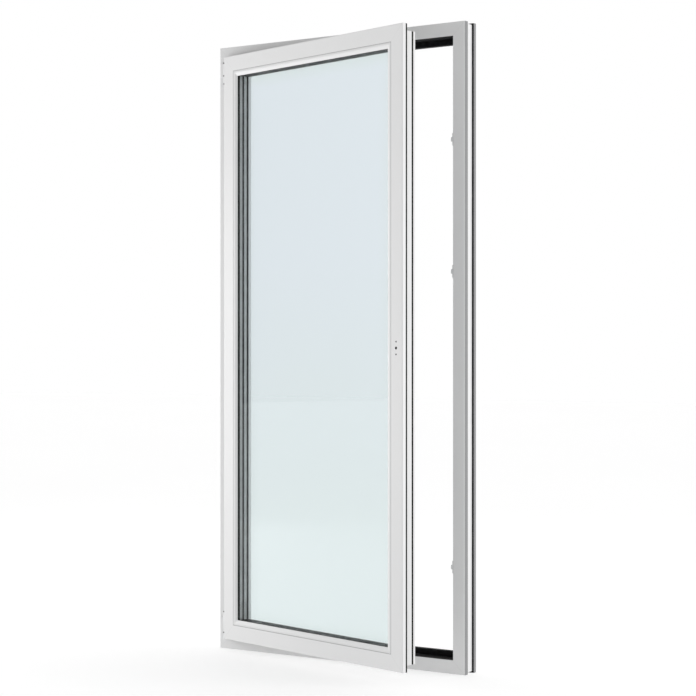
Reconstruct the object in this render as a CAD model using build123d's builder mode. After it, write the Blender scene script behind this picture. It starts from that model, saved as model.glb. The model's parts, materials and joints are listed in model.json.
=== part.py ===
from build123d import *
import math
import os

# A side-hung balcony-door window in white PVC: a mitred frame with one overlapping sash,
# triple glazing, a perimeter espagnolette driven from mid-height and no lever fitted.
# Millimetres. X runs to the right seen from indoors, Y outdoors and Z up. The origin is on the
# sill's underside, midway along it, under the middle of its front rib.

# Overall sizes
FRAME_WIDTH = 1080.0
FRAME_HEIGHT = 2280.0
REVEAL = 40.0
OPEN_ANGLE = 15.0
CLOSE_GAP = 0.3

# Plastic profile walls
WALL = 3.0
WEB = 2.5
EDGE_RADIUS = 2.5

# Sealed glass unit
PANE = 4.0
GLASS_GAP = 18.0
GLASS_FRONT = 11.0
GLASS_EDGE = 63.0
SPACER_INNER = 78.0
SPACER_BACK = 71.0
GLAZING_SEAL = 4.0
OUTER_SEAL_SETBACK = 3.0
OUTER_SEAL_SHOW = 1.5
GLASS_BACK = GLASS_FRONT + 3 * PANE + 2 * GLASS_GAP

# Sash section, measured inward from the sash edge and outdoors from its indoor face
FLANGE = 16.0
FLANGE_EDGE = 0.8
OVERLAP_GAP = 6.5
SASH_LIP_DEPTH = 15.0
SASH_SIDE = 20.0
REAR_GROOVE_WIDTH = 7.5
REAR_GROOVE_DEPTH = 6.0
REAR_GROOVE_LEAD = 1.4
REAR_SEAL_SETBACK = 0.5
SASH_JOINT = 60.5
GLASS_REBATE = 58.0
SASH_LIP = 76.0
BEAD_NOSE = 78.5
BEAD_BACK = 7.0
BEAD_FOOT = 16.0
BEAD_GAP = 0.2
OVERLAP_SEAL_INSET = 0.4
OVERLAP_SEAL_WIDTH = 6.4
SASH_PROUD = FLANGE + OVERLAP_GAP
LIP_FRONT = GLASS_BACK + GLAZING_SEAL
SASH_DEPTH = LIP_FRONT + SASH_LIP_DEPTH
REAR_GROOVE_FRONT = LIP_FRONT - REAR_GROOVE_LEAD
REAR_GROOVE_BACK = REAR_GROOVE_FRONT + REAR_GROOVE_WIDTH

# Frame section, measured inward from the outer edge and outdoors from the indoor face
REBATE_GAP = 12.0
LIP_HEIGHT = 20.0
LIP_DEPTH = 18.5
REBATE_SEAL = 4.0
RECESS_DEPTH = 6.0
RECESS_START = 22.0
REAR_RIB = 15.0
THERMAL_CHAMBER = 5.5
SEAL_SKIN = 1.0
SEAL_TIP = 1.2
EDGE_STRIP_WIDTH = 3.0
EDGE_STRIP_INSET = 0.5
FACE_SLOPE = 0.5
FRAME_FLOOR = REVEAL + SASH_SIDE - REBATE_GAP
FRAME_FACE = FRAME_FLOOR - FACE_SLOPE
LIP_REACH = FRAME_FLOOR + LIP_HEIGHT
LIP_START = SASH_DEPTH - SASH_PROUD + REBATE_SEAL
FRAME_DEPTH = LIP_START + LIP_DEPTH
RECESS_END = FRAME_DEPTH - REAR_RIB

# Hardware groove round the sash
GROOVE_WIDTH = 16.0
GROOVE_SETBACK = 13.0
GROOVE_DEPTH = 3.0
ROD_CHANNEL = 12.0
ROD_CHANNEL_DEPTH = 3.0
ROD_THICKNESS = 2.4
ROD_CLEARANCE = 0.3
PLATE_CLEARANCE = 0.2
GROOVE_AXIS = FLANGE + GROOVE_SETBACK

# Reinforcement
STEEL_WALL = 1.5

# Lock drive
THROW = 18.0
HUB_TURN = 90.0
HUB_INSET = 32.0
SPINDLE_SQUARE = 7.0
SPINDLE_HOLE = 5.0
HANDLE_SCREW_HOLE = 3.0
HANDLE_SCREW_SPACING = 43.0
SCREW_BOSS_RADIUS = 4.5
HUB_RADIUS = 6.0
FIT = 0.05
TEETH_PER_THROW = 4
TOOTH_HEIGHT = 1.1
TOOTH_ROOT = 1.5
TIP_SHARE = 0.16
ROOT_SHARE = 0.27
SPARE_TEETH = 2
RACK_BAR = 2.5
CASE_WALL = 1.6
CASE_END_ROOM = 18.5
CASE_HALF_DEPTH = 7.4
CASE_SCREW_RADIUS = 2.1
CASE_POCKET_GAP = 0.4
DRIVE_GAP = 0.5
CARRIAGE_LEG = 4.0
CARRIAGE_ROOM = 6.0
GEAR_SIDE_GAP = 0.8
CAM_RADIUS = 3.5
CAM_SHANK = 2.6
CAM_TIP = 14.0
CAM_HEAD = 2.6
SLOT_ROOM = 1.0
SCREW_SLOT = 5.0
CORNER_ARM = 110.0
CORNER_GAP = 0.3
ROD_END = 125.0
KEEP_BASE = 2.0
KEEP_LENGTH = 44.0
KEEP_WALL_LENGTH = 16.0
KEEP_START = 1.0
KEEP_END = 21.0
KEEP_HOLD = 2.5
KEEP_SCREW_SPACING = 32.0
KEEP_SCREW_DEPTH = 12.0
CAM_KEEP_GAP = 0.4
RACK_RADIUS = THROW / math.radians(HUB_TURN)
CASE_REACH = HUB_INSET + RACK_RADIUS + TOOTH_ROOT + RACK_BAR + DRIVE_GAP + CASE_WALL
CARRIAGE_DROP = HANDLE_SCREW_SPACING / 2 + SCREW_BOSS_RADIUS + CARRIAGE_ROOM + CARRIAGE_LEG
CARRIAGE_RISE = CARRIAGE_DROP - CARRIAGE_LEG + THROW
CASE_HALF_LENGTH = CARRIAGE_DROP + THROW + CASE_END_ROOM
KEEP_REACH = REVEAL + CAM_TIP + KEEP_HOLD

# Hinges
PIN_BESIDE_SASH = 7.0
PIN_AHEAD = 12.0
PIN_RADIUS = 3.0
BARREL_RADIUS = 6.5
HINGE_PLATE = 3.0
UPPER_KNUCKLE = (112.0, 136.5)
UPPER_BARREL = (59.0, 111.5)
LOWER_KNUCKLE = (36.0, 60.0)
LOWER_BARREL = (60.5, 144.0)
HINGE_PLATE_FAR = 26.0
HINGE_PLATE_NEAR = 9.0
KNUCKLE_ARM = 4.0
BARREL_ARM = 3.0
PLATE_MARGIN = 13.0
PLATE_SCREW_LOW = 12.0
PLATE_SCREW_HIGH = 10.0
PLATE_SCREW_SPACING = 33.0
PIN_ENGAGEMENT = 60.0
PIN_END_GAP = 4.0
PIN_SEAT = 9.0
PIN_HEAD = 6.0
PIN_HEAD_RADIUS = 5.0
UPPER_PIN_STOP = 7.0
LEAF_MARGIN = 4.0
LEAF_LOWER_START = 9.5
LEAF_LOWER_LENGTH = 60.0
LEAF_GAP = 0.2
LEAF_DEPTH = 47.0
LEAF_SCREW_DEPTH = 43.0
LEAF_SCREW_MARGIN = 9.0
COVER_WALL = 1.2
COVER_DEPTH = 3.5
COVER_RADIUS = 1.5

# Screws: head radius, head height, shank radius and overall length
HINGE_SCREW = (3.8, 1.5, 2.0, 20.0)
KEEP_SCREW = (3.6, 1.2, 1.9, 14.0)
LEAF_SCREW = (3.4, 1.4, 1.9, 16.0)
FACEPLATE_SCREW = (3.4, 1.4, 1.9, 12.0)
CORNER_SCREW_BACKS = (14.0, 58.0)

# Drain slots and glazing packers
DRAIN_LENGTH = 28.0
DRAIN_HEIGHT = 5.0
DRAIN_LEVEL = 53.0
DRAIN_SHARE = 0.32
PACKER_LENGTH = 100.0
PACKER_FROM_CORNER = 90.0
PACKER_BEAD_GAP = 1.0

SIDES = ("bottom", "top", "hinge", "lock")
INDOOR_FACE = -RECESS_START / 2
OUTDOOR_FACE = INDOOR_FACE + FRAME_DEPTH
SASH_FACE = INDOOR_FACE - SASH_PROUD
SASH_WIDTH = FRAME_WIDTH - 2 * REVEAL
SASH_HEIGHT = FRAME_HEIGHT - 2 * REVEAL
SASH_RIGHT = SASH_WIDTH / 2
SASH_TOP = REVEAL + SASH_HEIGHT
HANDLE_HEIGHT = REVEAL + SASH_HEIGHT / 2
PIN_X = -SASH_RIGHT - PIN_BESIDE_SASH
PIN_Y = INDOOR_FACE - PIN_AHEAD
HINGE_AXIS = Axis((PIN_X, PIN_Y, 0), (0, 0, 1))
TOOTH_PITCH = THROW / TEETH_PER_THROW
TOOTH_ANGLE = HUB_TURN / TEETH_PER_THROW
PLATE_TOP = SASH_SIDE + PLATE_CLEARANCE
PLATE_BOTTOM = SASH_SIDE + GROOVE_DEPTH
ROD_TOP = PLATE_BOTTOM + ROD_CLEARANCE
ROD_BOTTOM = ROD_TOP + ROD_THICKNESS

LOCK_CAMS = [HANDLE_HEIGHT + share * SASH_HEIGHT for share in (-0.34, 0.13, 0.34)]
RAIL_CAMS = [share * SASH_WIDTH for share in (-0.18, 0.22)]
LOCK_SCREWS = [HANDLE_HEIGHT + share * SASH_HEIGHT for share in (-0.42, -0.25, 0.25, 0.42)]
RAIL_SCREWS = [share * SASH_WIDTH for share in (-0.3, 0.02, 0.32)]

os.makedirs("parts", exist_ok=True)


def save(part, name):
    """Write one finished piece of the fixed frame."""
    part.label = name
    export_step(part, f"parts/{name}.step")


def save_on_sash(part, name):
    """Write one piece that rides on the sash, turned with it to the ajar position."""
    turned = part.rotate(HINGE_AXIS, -OPEN_ANGLE)
    turned.label = name
    export_step(turned, f"parts/{name}.step")


def section_plane(side, width, height, base, face):
    """Section plane of one bar: local X inward, local Y outdoors, the bar along its normal."""
    half = width / 2
    inward = {"bottom": (0, 0, 1), "top": (0, 0, -1), "hinge": (1, 0, 0), "lock": (-1, 0, 0)}
    start = {
        "bottom": (half, face, base),
        "top": (-half, face, base + height),
        "hinge": (-half, face, base),
        "lock": (half, face, base + height),
    }
    x_dir = Vector(*inward[side])
    return Plane(origin=start[side], x_dir=x_dir, z_dir=x_dir.cross(Vector(0, 1, 0)))


def frame_plane(side):
    return section_plane(side, FRAME_WIDTH, FRAME_HEIGHT, 0, INDOOR_FACE)


def sash_plane(side):
    return section_plane(side, SASH_WIDTH, SASH_HEIGHT, REVEAL, SASH_FACE)


def plan_plane(section):
    """Plane of the window's elevation at one bar: local X along the bar, local Y inward."""
    along = section.z_dir
    return Plane(origin=section.origin, x_dir=along, z_dir=along.cross(section.x_dir))


def bar_length(side, width, height):
    return width if side in ("bottom", "top") else height


def mitred_bar(plane, length, reach, section):
    """One extruded bar with both ends cut at 45 degrees."""
    with BuildPart() as bar:
        with BuildSketch(plane):
            section()
        extrude(amount=length)
        with BuildSketch(plan_plane(plane)):
            with BuildLine():
                Polyline((0, 0), (length, 0), (length - reach, reach), (reach, reach), close=True)
            make_face()
        extrude(amount=4 * FRAME_DEPTH, both=True, mode=Mode.INTERSECT)
    return bar.part


def frame_bar(side, section):
    length = bar_length(side, FRAME_WIDTH, FRAME_HEIGHT)
    return mitred_bar(frame_plane(side), length, 2 * REVEAL, section)


def sash_bar(side, section):
    length = bar_length(side, SASH_WIDTH, SASH_HEIGHT)
    return mitred_bar(sash_plane(side), length, 2 * BEAD_NOSE, section)


def outline(points, radii):
    """A closed face with its own radius at every corner."""
    with BuildLine() as edge:
        FilletPolyline(*points, radius=radii, close=True)
    make_face(edge.edges())


def box_section(x_low, x_high, y_low, y_high, mode=Mode.ADD):
    with Locations(((x_low + x_high) / 2, (y_low + y_high) / 2)):
        Rectangle(x_high - x_low, y_high - y_low, mode=mode)


def slab(x_low, x_high, y_low, y_high, z_low, z_high, mode=Mode.ADD):
    """A rectangular block between two corners, in world directions."""
    with BuildSketch(Plane.XY.offset(z_low)) as base:
        box_section(x_low, x_high, y_low, y_high)
    extrude(base.sketch, amount=z_high - z_low, mode=mode)


def ring(inset_out, inset_in, depth_low, depth_high):
    """A rectangular ring inside the sash edge, between two depths behind the sash face."""
    with BuildPart() as band:
        with BuildSketch(Plane.XZ.offset(-(SASH_FACE + depth_low))):
            with Locations((0, HANDLE_HEIGHT)):
                Rectangle(SASH_WIDTH - 2 * inset_out, SASH_HEIGHT - 2 * inset_out)
                Rectangle(SASH_WIDTH - 2 * inset_in, SASH_HEIGHT - 2 * inset_in, mode=Mode.SUBTRACT)
        extrude(amount=-(depth_high - depth_low))
    return band.part


def on_side(side, along, inset, depth, normal_in):
    """Plane at one place on a sash bar, facing inward to the glass or out to the frame."""
    section = sash_plane(side)
    centre_x = {"bottom": along, "top": along, "hinge": -SASH_RIGHT, "lock": SASH_RIGHT}[side]
    centre_z = {"bottom": REVEAL, "top": SASH_TOP, "hinge": along, "lock": along}[side]
    inward = section.x_dir
    origin = Vector(centre_x, SASH_FACE + depth, centre_z) + inward * inset
    return Plane(origin=origin, x_dir=(0, 1, 0), z_dir=inward if normal_in else inward * -1)


def along_axis(side):
    """World direction in which positions along a bar are counted."""
    return Vector(1, 0, 0) if side in ("bottom", "top") else Vector(0, 0, 1)


# Fixed frame ---------------------------------------------------------------------------------

FRAME_CHAMBER_IN = FRAME_FACE - WALL
STEEL_FRONT = 12.5
REAR_CHAMBER = RECESS_END + WALL
THERMAL_BACK = REAR_CHAMBER - WEB
STEEL_BACK = THERMAL_BACK - THERMAL_CHAMBER - WEB
FRAME_RADII = [EDGE_RADIUS, 1.2, 0, 0, 0, EDGE_RADIUS, 1, 0.8, 0, 0.8, 0.8]
SEAL_RADII = [0, 0.4, 1.2, 1.4, 0.5, 0, 0, 0]


def frame_section():
    points = [
        (0, 0), (FRAME_FACE, 0), (FRAME_FLOOR, EDGE_RADIUS), (FRAME_FLOOR, LIP_START),
        (LIP_REACH, LIP_START), (LIP_REACH, FRAME_DEPTH), (0, FRAME_DEPTH), (0, RECESS_END),
        (RECESS_DEPTH, RECESS_END), (RECESS_DEPTH, RECESS_START), (0, RECESS_START),
    ]
    outline(points, FRAME_RADII)
    box_section(WALL, FRAME_CHAMBER_IN, WALL, STEEL_FRONT - WEB, Mode.SUBTRACT)
    box_section(RECESS_DEPTH + WALL, FRAME_CHAMBER_IN, STEEL_FRONT, STEEL_BACK, Mode.SUBTRACT)
    box_section(RECESS_DEPTH + WALL, FRAME_CHAMBER_IN, STEEL_BACK + WEB, THERMAL_BACK, Mode.SUBTRACT)
    box_section(WALL, FRAME_CHAMBER_IN, REAR_CHAMBER, FRAME_DEPTH - WALL, Mode.SUBTRACT)
    box_section(FRAME_FACE, LIP_REACH - WALL, LIP_START + WALL, FRAME_DEPTH - WALL, Mode.SUBTRACT)


def steel_section(low, high, front, back):
    box_section(low, high, front, back)
    box_section(
        low + STEEL_WALL, high - STEEL_WALL, front + STEEL_WALL, back - STEEL_WALL, Mode.SUBTRACT
    )


def steel_bar(plane, length, low, high, front, back):
    """A square-cut steel tube that stops short of the mitres at both ends."""
    start = high + 2 * WALL
    with BuildPart() as tube:
        with BuildSketch(plane.offset(start)):
            steel_section(low, high, front, back)
        extrude(amount=length - 2 * start)
    return tube.part


def frame_seal_section():
    skin = FRAME_FLOOR + SEAL_SKIN
    tip = LIP_REACH + SEAL_TIP
    front = SASH_DEPTH - SASH_PROUD + CLOSE_GAP
    points = [
        (FRAME_FLOOR, EDGE_RADIUS), (skin, EDGE_RADIUS), (skin, front), (tip, front),
        (tip, FRAME_DEPTH - SEAL_SKIN), (LIP_REACH, FRAME_DEPTH - SEAL_SKIN), (LIP_REACH, LIP_START),
        (FRAME_FLOOR, LIP_START),
    ]
    outline(points, SEAL_RADII)


# Frame hinge hardware, all beside the left edge of the sash
PLATE_LEFT = PIN_X - HINGE_PLATE_FAR
PLATE_RIGHT = PIN_X - HINGE_PLATE_NEAR
PLATE_FRONT = INDOOR_FACE - HINGE_PLATE
UPPER_KNUCKLE_LOW = FRAME_HEIGHT - UPPER_KNUCKLE[1]
UPPER_KNUCKLE_HIGH = FRAME_HEIGHT - UPPER_KNUCKLE[0]
UPPER_BARREL_LOW = FRAME_HEIGHT - UPPER_BARREL[1]
UPPER_BARREL_HIGH = FRAME_HEIGHT - UPPER_BARREL[0]
UPPER_SCREWS = [UPPER_BARREL_LOW + PLATE_SCREW_LOW, UPPER_BARREL_HIGH - PLATE_SCREW_HIGH]
LOWER_SCREW = LOWER_BARREL[0] + PLATE_SCREW_LOW
LOWER_SCREWS = [LOWER_SCREW, LOWER_SCREW + PLATE_SCREW_SPACING]
LOWER_PIN_FLOOR = LOWER_KNUCKLE[0] + PIN_SEAT
LOWER_PIN_TOP = LOWER_KNUCKLE[1] + PIN_ENGAGEMENT


def frame_hinge(plate_low, plate_high, knuckle_low, knuckle_high, bore_low):
    """A bracket on the indoor face with one knuckle on the hinge line."""
    with BuildPart() as bracket:
        slab(PLATE_LEFT, PLATE_RIGHT, PLATE_FRONT, INDOOR_FACE, plate_low, plate_high)
        slab(PLATE_RIGHT - KNUCKLE_ARM, PIN_X, PIN_Y, INDOOR_FACE, knuckle_low, knuckle_high)
        with BuildSketch(Plane.XY.offset(knuckle_low)):
            with Locations((PIN_X, PIN_Y)):
                Circle(BARREL_RADIUS)
        extrude(amount=knuckle_high - knuckle_low)
        with BuildSketch(Plane.XY.offset(bore_low)):
            with Locations((PIN_X, PIN_Y)):
                Circle(PIN_RADIUS)
        extrude(amount=knuckle_high - bore_low, mode=Mode.SUBTRACT)
    return bracket.part


def sash_hinge(barrel_low, barrel_high, bore_high, leaf_low, leaf_high):
    """A barrel whose leaf passes behind the sash flange and screws to the sash's side."""
    leaf_front = SASH_FACE + FLANGE
    leaf_back = leaf_front + HINGE_PLATE - LEAF_GAP
    side_x = -SASH_RIGHT + SASH_SIDE
    with BuildPart() as leaf:
        with BuildSketch(Plane.XY.offset(barrel_low)):
            with Locations((PIN_X, PIN_Y)):
                Circle(BARREL_RADIUS)
        extrude(amount=barrel_high - barrel_low)
        slab(PIN_X - BARREL_ARM, PIN_X + BARREL_RADIUS, PIN_Y, leaf_back, leaf_low, leaf_high)
        slab(PIN_X - BARREL_ARM, side_x, leaf_front, leaf_back, leaf_low, leaf_high)
        slab(side_x - HINGE_PLATE, side_x, leaf_front, SASH_FACE + LEAF_DEPTH, leaf_low, leaf_high)
        with BuildSketch(Plane.XY.offset(barrel_low)):
            with Locations((PIN_X, PIN_Y)):
                Circle(PIN_RADIUS + FIT)
        extrude(amount=bore_high - barrel_low, mode=Mode.SUBTRACT)
    return leaf.part


def screw(plane, head_radius, head_height, shank_radius, length):
    """A screw whose head lies under the plane and whose shank runs along its normal."""
    with BuildSketch(plane) as head:
        Circle(head_radius)
    extrude(head.sketch, amount=head_height)
    with BuildSketch(plane) as shank:
        Circle(shank_radius)
    extrude(shank.sketch, amount=length)


HINGE_SCREW_X = (PLATE_LEFT + PLATE_RIGHT) / 2
with BuildPart() as frame_hinge_screws:
    for height in UPPER_SCREWS + LOWER_SCREWS:
        head = (HINGE_SCREW_X, PLATE_FRONT - HINGE_SCREW[1], height)
        screw(Plane(origin=head, x_dir=(1, 0, 0), z_dir=(0, 1, 0)), *HINGE_SCREW)
save(frame_hinge_screws.part, "frame_hinge_screws")

with BuildPart() as upper_frame_hinge:
    add(frame_hinge(
        UPPER_KNUCKLE_LOW - PLATE_MARGIN, UPPER_BARREL_HIGH, UPPER_KNUCKLE_LOW,
        UPPER_KNUCKLE_HIGH, UPPER_KNUCKLE_LOW,
    ))
    add(frame_hinge_screws.part, mode=Mode.SUBTRACT)
save(upper_frame_hinge.part, "upper_frame_hinge")

with BuildPart() as lower_frame_hinge:
    add(frame_hinge(
        LOWER_KNUCKLE[0], LOWER_SCREWS[1] + PLATE_MARGIN, LOWER_KNUCKLE[0], LOWER_KNUCKLE[1],
        LOWER_PIN_FLOOR,
    ))
    add(frame_hinge_screws.part, mode=Mode.SUBTRACT)
save(lower_frame_hinge.part, "lower_frame_hinge")

with BuildPart() as upper_hinge_pin:
    with BuildSketch(Plane.XY.offset(UPPER_KNUCKLE_LOW)):
        with Locations((PIN_X, PIN_Y)):
            Circle(PIN_RADIUS)
    extrude(amount=UPPER_BARREL_HIGH - UPPER_PIN_STOP - UPPER_KNUCKLE_LOW)
    with BuildSketch(Plane.XY.offset(UPPER_KNUCKLE_LOW - PIN_HEAD)):
        with Locations((PIN_X, PIN_Y)):
            Circle(PIN_HEAD_RADIUS)
    extrude(amount=PIN_HEAD)
save(upper_hinge_pin.part, "upper_hinge_pin")

with BuildPart() as lower_hinge_pin:
    with BuildSketch(Plane.XY.offset(LOWER_PIN_FLOOR)):
        with Locations((PIN_X, PIN_Y)):
            Circle(PIN_RADIUS)
    extrude(amount=LOWER_PIN_TOP - LOWER_PIN_FLOOR)
save(lower_hinge_pin.part, "lower_hinge_pin")


def hinge_cover(low, high):
    """A thin cap that clips over the bracket and hides its screws."""
    with BuildPart() as cap:
        slab(PLATE_LEFT, PLATE_RIGHT, PLATE_FRONT - COVER_DEPTH, PLATE_FRONT, low, high)
        fillet(cap.faces().sort_by(Axis.Y)[0].edges(), COVER_RADIUS)
        slab(
            PLATE_LEFT + COVER_WALL, PLATE_RIGHT - COVER_WALL, PLATE_FRONT - COVER_DEPTH + COVER_WALL,
            PLATE_FRONT, low + COVER_WALL, high - COVER_WALL, Mode.SUBTRACT,
        )
    return cap.part


save(hinge_cover(UPPER_BARREL_LOW, UPPER_BARREL_HIGH), "upper_hinge_cover")
save(hinge_cover(LOWER_BARREL[0], LOWER_SCREWS[1] + PLATE_MARGIN), "lower_hinge_cover")

# Strike plates stand on the rebate floor where the cams are once the window is locked
KEEP_FLOOR = FRAME_FLOOR + SEAL_SKIN
KEEP_WALL_END = GROOVE_AXIS - SASH_PROUD - CAM_RADIUS - CAM_KEEP_GAP
KEEPS = (
    [("lock", height - THROW) for height in LOCK_CAMS]
    + [("top", place + THROW) for place in RAIL_CAMS]
    + [("bottom", place - THROW) for place in RAIL_CAMS]
)


def keep_plane(side, along):
    """Plane on the rebate floor under one keep: local X along the bar, local Y outdoors."""
    section = frame_plane(side)
    inward = section.x_dir
    direction = along_axis(side)
    edge_x = {"bottom": along, "top": along, "lock": FRAME_WIDTH / 2}[side]
    edge_z = {"bottom": 0, "top": FRAME_HEIGHT, "lock": along}[side]
    origin = Vector(edge_x, INDOOR_FACE, edge_z) + inward * KEEP_FLOOR
    x_dir = direction if direction.cross(Vector(0, 1, 0)).dot(inward) > 0 else direction * -1
    return Plane(origin=origin, x_dir=x_dir, z_dir=inward)


with BuildPart() as keep_screws:
    for side, along in KEEPS:
        for offset_along in (-KEEP_SCREW_SPACING / 2, KEEP_SCREW_SPACING / 2):
            base = keep_plane(side, along)
            head = base.from_local_coords(Vector(offset_along, KEEP_SCREW_DEPTH, KEEP_BASE))
            screw(Plane(origin=head, x_dir=base.x_dir, z_dir=base.z_dir * -1), *KEEP_SCREW)
save(keep_screws.part, "keep_screws")

with BuildPart() as strike_plates:
    for side, along in KEEPS:
        floor = keep_plane(side, along)
        with BuildSketch(floor):
            box_section(-KEEP_LENGTH / 2, KEEP_LENGTH / 2, KEEP_START, KEEP_END)
        extrude(amount=KEEP_BASE)
        with BuildSketch(floor):
            box_section(-KEEP_WALL_LENGTH / 2, KEEP_WALL_LENGTH / 2, KEEP_START, KEEP_WALL_END)
        extrude(amount=KEEP_REACH - KEEP_FLOOR)
    add(keep_screws.part, mode=Mode.SUBTRACT)
save(strike_plates.part, "strike_plates")

FRAME_NAMES = {
    "bottom": "frame_sill",
    "top": "frame_head",
    "hinge": "frame_hinge_jamb",
    "lock": "frame_lock_jamb",
}
for side in SIDES:
    with BuildPart() as frame_member:
        add(frame_bar(side, frame_section))
        add(frame_hinge_screws.part, mode=Mode.SUBTRACT)
        add(keep_screws.part, mode=Mode.SUBTRACT)
        if side == "bottom":
            with BuildSketch(Plane.XZ.offset(-OUTDOOR_FACE)):
                for share in (-DRAIN_SHARE, DRAIN_SHARE):
                    with Locations((share * FRAME_WIDTH, DRAIN_LEVEL)):
                        SlotOverall(DRAIN_LENGTH, DRAIN_HEIGHT)
            extrude(amount=2 * WALL, both=True, mode=Mode.SUBTRACT)
    save(frame_member.part, FRAME_NAMES[side])
    length = bar_length(side, FRAME_WIDTH, FRAME_HEIGHT)
    with BuildPart() as steel:
        add(steel_bar(
            frame_plane(side), length, RECESS_DEPTH + WALL, FRAME_CHAMBER_IN, STEEL_FRONT, STEEL_BACK,
        ))
        add(keep_screws.part, mode=Mode.SUBTRACT)
        add(frame_hinge_screws.part, mode=Mode.SUBTRACT)
    save(steel.part, FRAME_NAMES[side] + "_steel")

seal_bars = [frame_bar(side, frame_seal_section) for side in SIDES]
with BuildPart() as frame_seal:
    add(seal_bars)
    add(keep_screws.part, mode=Mode.SUBTRACT)
save(frame_seal.part, "frame_seal")

with BuildPart() as perimeter_seal:
    with BuildSketch(Plane.XZ.offset(-(INDOOR_FACE + RECESS_END - EDGE_STRIP_WIDTH))):
        with Locations((0, FRAME_HEIGHT / 2)):
            Rectangle(FRAME_WIDTH - 2 * EDGE_STRIP_INSET, FRAME_HEIGHT - 2 * EDGE_STRIP_INSET)
            Rectangle(FRAME_WIDTH - 2 * RECESS_DEPTH, FRAME_HEIGHT - 2 * RECESS_DEPTH, mode=Mode.SUBTRACT)
    extrude(amount=-EDGE_STRIP_WIDTH)
save(perimeter_seal.part, "perimeter_seal")


# Sash ----------------------------------------------------------------------------------------

GROOVE_FRONT = GROOVE_AXIS - GROOVE_WIDTH / 2
GROOVE_BACK = GROOVE_AXIS + GROOVE_WIDTH / 2
CHANNEL_FRONT = GROOVE_AXIS - ROD_CHANNEL / 2
CHANNEL_BACK = GROOVE_AXIS + ROD_CHANNEL / 2
CHANNEL_FLOOR = SASH_SIDE + GROOVE_DEPTH + ROD_CHANNEL_DEPTH
SASH_CHAMBER_IN = GLASS_REBATE - WALL
CHANNEL_CHAMBER_BACK = GROOVE_BACK + 1
SASH_STEEL_FRONT = CHANNEL_CHAMBER_BACK + WEB
SASH_STEEL_BACK = REAR_GROOVE_FRONT - WEB
REAR_GROOVE_FLOOR = SASH_SIDE + REAR_GROOVE_DEPTH
BEAD_SEAT = WALL + 1
SASH_RADII = [3.0, 0.4, 0, 0, 0, 1.0, 2.0, 1.0, 0.5, 0, 0, 0.5, 0.4, 0, 0, 0, 0, 0, 0, 0.4, 0, FLANGE_EDGE]
BEAD_SLOPE_START = 7.0
BEAD_NOSE_FRONT = 4.6
BEAD_CLIP = 0.8
BEAD_RADII = [0.9, 6, 1.2, 0.6, 0, 0.6, 0.6, 0, 0]


def sash_section():
    points = [
        (0, 0), (SASH_JOINT, 0), (SASH_JOINT, BEAD_SEAT), (GLASS_REBATE, BEAD_SEAT),
        (GLASS_REBATE, LIP_FRONT), (SASH_LIP, LIP_FRONT), (SASH_LIP, SASH_DEPTH),
        (SASH_SIDE, SASH_DEPTH), (SASH_SIDE, REAR_GROOVE_BACK),
        (REAR_GROOVE_FLOOR, REAR_GROOVE_BACK), (REAR_GROOVE_FLOOR, REAR_GROOVE_FRONT),
        (SASH_SIDE, REAR_GROOVE_FRONT), (SASH_SIDE, GROOVE_BACK),
        (SASH_SIDE + GROOVE_DEPTH, GROOVE_BACK), (SASH_SIDE + GROOVE_DEPTH, CHANNEL_BACK),
        (CHANNEL_FLOOR, CHANNEL_BACK), (CHANNEL_FLOOR, CHANNEL_FRONT),
        (SASH_SIDE + GROOVE_DEPTH, CHANNEL_FRONT), (SASH_SIDE + GROOVE_DEPTH, GROOVE_FRONT),
        (SASH_SIDE, GROOVE_FRONT), (SASH_SIDE, FLANGE), (0, FLANGE),
    ]
    outline(points, SASH_RADII)
    box_section(WALL, SASH_CHAMBER_IN, WALL, FLANGE - WALL, Mode.SUBTRACT)
    box_section(CHANNEL_FLOOR + WALL, SASH_CHAMBER_IN, FLANGE, CHANNEL_CHAMBER_BACK, Mode.SUBTRACT)
    box_section(SASH_SIDE + WALL, SASH_CHAMBER_IN, SASH_STEEL_FRONT, SASH_STEEL_BACK, Mode.SUBTRACT)
    box_section(
        REAR_GROOVE_FLOOR + WALL, SASH_LIP - WALL, LIP_FRONT + WALL, SASH_DEPTH - WALL, Mode.SUBTRACT
    )


def bead_section():
    joint = SASH_JOINT + CLOSE_GAP
    clip = GLASS_EDGE - BEAD_CLIP
    heel = GLASS_REBATE + BEAD_GAP
    points = [
        (joint, BEAD_GAP), (SASH_JOINT + BEAD_SLOPE_START, BEAD_GAP), (BEAD_NOSE, BEAD_NOSE_FRONT),
        (BEAD_NOSE, BEAD_BACK), (clip, BEAD_BACK), (clip, BEAD_FOOT), (heel, BEAD_FOOT),
        (heel, BEAD_SEAT), (joint, BEAD_SEAT),
    ]
    outline(points, BEAD_RADII)


LEAF_UPPER = (UPPER_BARREL_LOW + LEAF_MARGIN, UPPER_BARREL_HIGH - LEAF_MARGIN)
LEAF_LOWER_LOW = LOWER_BARREL[0] + LEAF_LOWER_START
LEAF_LOWER = (LEAF_LOWER_LOW, LEAF_LOWER_LOW + LEAF_LOWER_LENGTH)
with BuildPart() as sash_hinge_screws:
    for low, high in (LEAF_UPPER, LEAF_LOWER):
        for height in (low + LEAF_SCREW_MARGIN, high - LEAF_SCREW_MARGIN):
            face = on_side("hinge", height, SASH_SIDE - HINGE_PLATE, LEAF_SCREW_DEPTH, True)
            screw(face, *LEAF_SCREW)
save_on_sash(sash_hinge_screws.part, "sash_hinge_screws")

with BuildPart() as upper_sash_hinge:
    add(sash_hinge(UPPER_BARREL_LOW, UPPER_BARREL_HIGH, UPPER_BARREL_HIGH - PIN_END_GAP, *LEAF_UPPER))
    add(sash_hinge_screws.part, mode=Mode.SUBTRACT)
save_on_sash(upper_sash_hinge.part, "upper_sash_hinge")

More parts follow.
